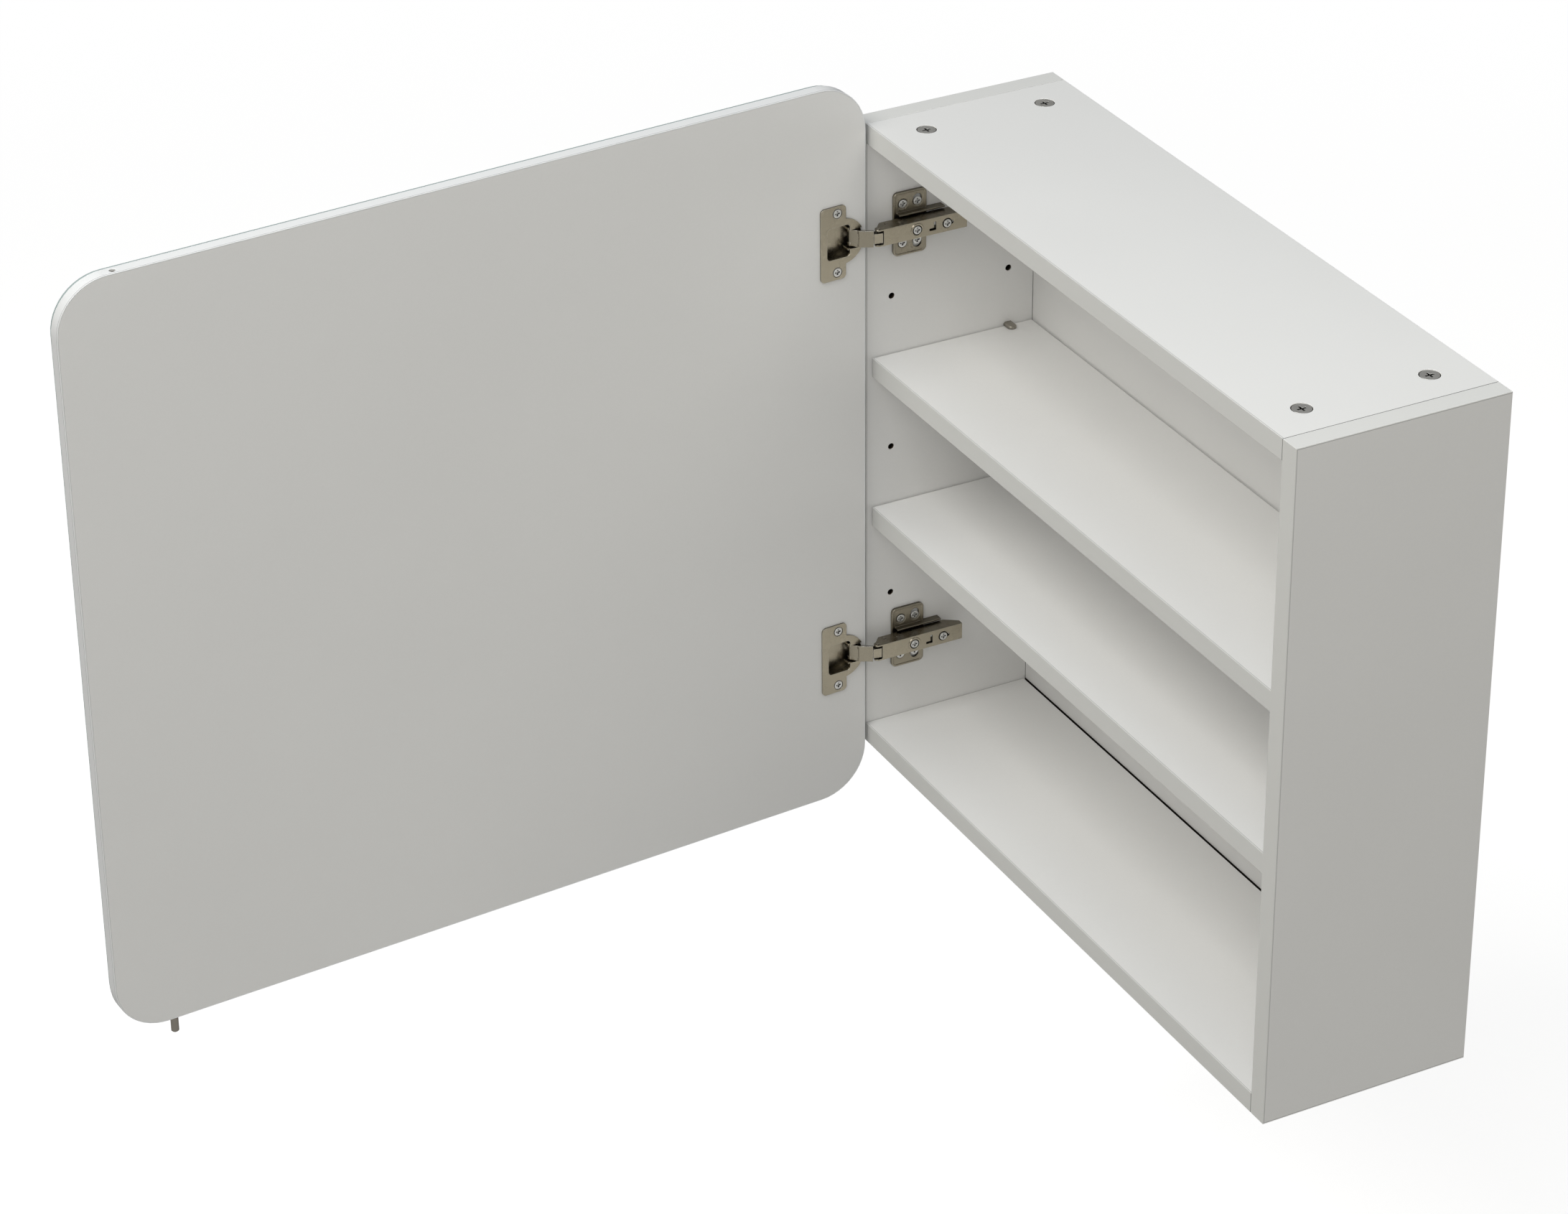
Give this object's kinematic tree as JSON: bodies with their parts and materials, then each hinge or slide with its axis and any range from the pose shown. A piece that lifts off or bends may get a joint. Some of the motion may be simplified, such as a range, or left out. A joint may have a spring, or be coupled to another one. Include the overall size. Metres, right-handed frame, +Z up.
{
  "type": "mirror cabinet",
  "caption": "Wall-hung bathroom cabinet with open shelves behind a mirror door with rounded corners that swings on cup hinges with linked arms.",
  "frame": {"origin": "midway between the two hanging keyholes, on the wall plane at the rear edges of the carcass", "axes": "+X to the right seen from the front, +Y back into the wall, +Z up"},
  "size_m": [0.592, 0.8135, 0.62],
  "materials": {
    "white_board": "fine matt white melamine on chipboard",
    "back_sheet": "white lacquered hardboard",
    "door_board": "fine matt pale grey melamine on fibreboard",
    "edge_band": "satin bluish white edge band",
    "mirror_glass": "silvered float glass, ground edge",
    "adhesive": "grey foam adhesive sheet",
    "beech": "plain beech",
    "cam_zinc": "bare zinc casting",
    "bright_zinc": "bright zinc plating",
    "support_steel": "nickel plated pegs",
    "nickel": "satin nickel plating"
  },
  "bodies": {
    "cabinet": {"back_panel": "back_sheet", "bottom_cam_locks": "cam_zinc", "bottom_panel": "white_board", "bracket_screws": "bright_zinc", "cam_bolts": "bright_zinc", "dowels": "beech", "left_side": "white_board", "left_wall_bracket": "bright_zinc", "lower_adjusting_screws": "bright_zinc", "lower_arm_pins": "nickel", "lower_hinge_arm": "nickel", "lower_mounting_plate": "nickel", "lower_plate_screws": "bright_zinc", "lower_shelf": "white_board", "right_side": "white_board", "right_wall_bracket": "bright_zinc", "shelf_stops": "support_steel", "shelf_supports": "support_steel", "top_cam_locks": "cam_zinc", "top_panel": "white_board", "upper_adjusting_screws": "bright_zinc", "upper_arm_pins": "nickel", "upper_hinge_arm": "nickel", "upper_mounting_plate": "nickel", "upper_plate_screws": "bright_zinc", "upper_shelf": "white_board"},
    "outer_links": {"lower_outer_link": "nickel", "upper_outer_link": "nickel"},
    "inner_links": {"lower_inner_link": "nickel", "upper_inner_link": "nickel"},
    "door": {"door_edge_band": "edge_band", "door_panel": "door_board", "lower_cup_pin": "nickel", "lower_cup_screws": "bright_zinc", "lower_cup_studs": "nickel", "lower_hinge_cup": "nickel", "mirror_adhesive": "adhesive", "mirror_pane": "mirror_glass", "pull_pin": "nickel", "upper_cup_pin": "nickel", "upper_cup_screws": "bright_zinc", "upper_cup_studs": "nickel", "upper_hinge_cup": "nickel"}
  },
  "joints": [
    {"name": "outer_link_swing", "type": "hinge", "parent": "cabinet", "child": "outer_links", "pos_m": [-0.266, -0.165, 0], "axis": [0, 0, 1], "range_deg": [-34.41, 3.61]},
    {"name": "inner_link_swing", "type": "hinge", "parent": "cabinet", "child": "inner_links", "pos_m": [-0.2715, -0.156, 0], "axis": [0, 0, 1], "range_deg": [-37.85, 3.97]},
    {"name": "door_swing", "type": "hinge", "parent": "outer_links", "child": "door", "pos_m": [-0.27704, -0.18286, 0], "axis": [0, 0, -1], "range_deg": [-120.4, 12.6]}
  ],
  "couplings": [
    {"joint": "outer_link_swing", "follows": "door_swing", "ratio": 0.28571},
    {"joint": "inner_link_swing", "follows": "door_swing", "ratio": 0.31429}
  ]
}
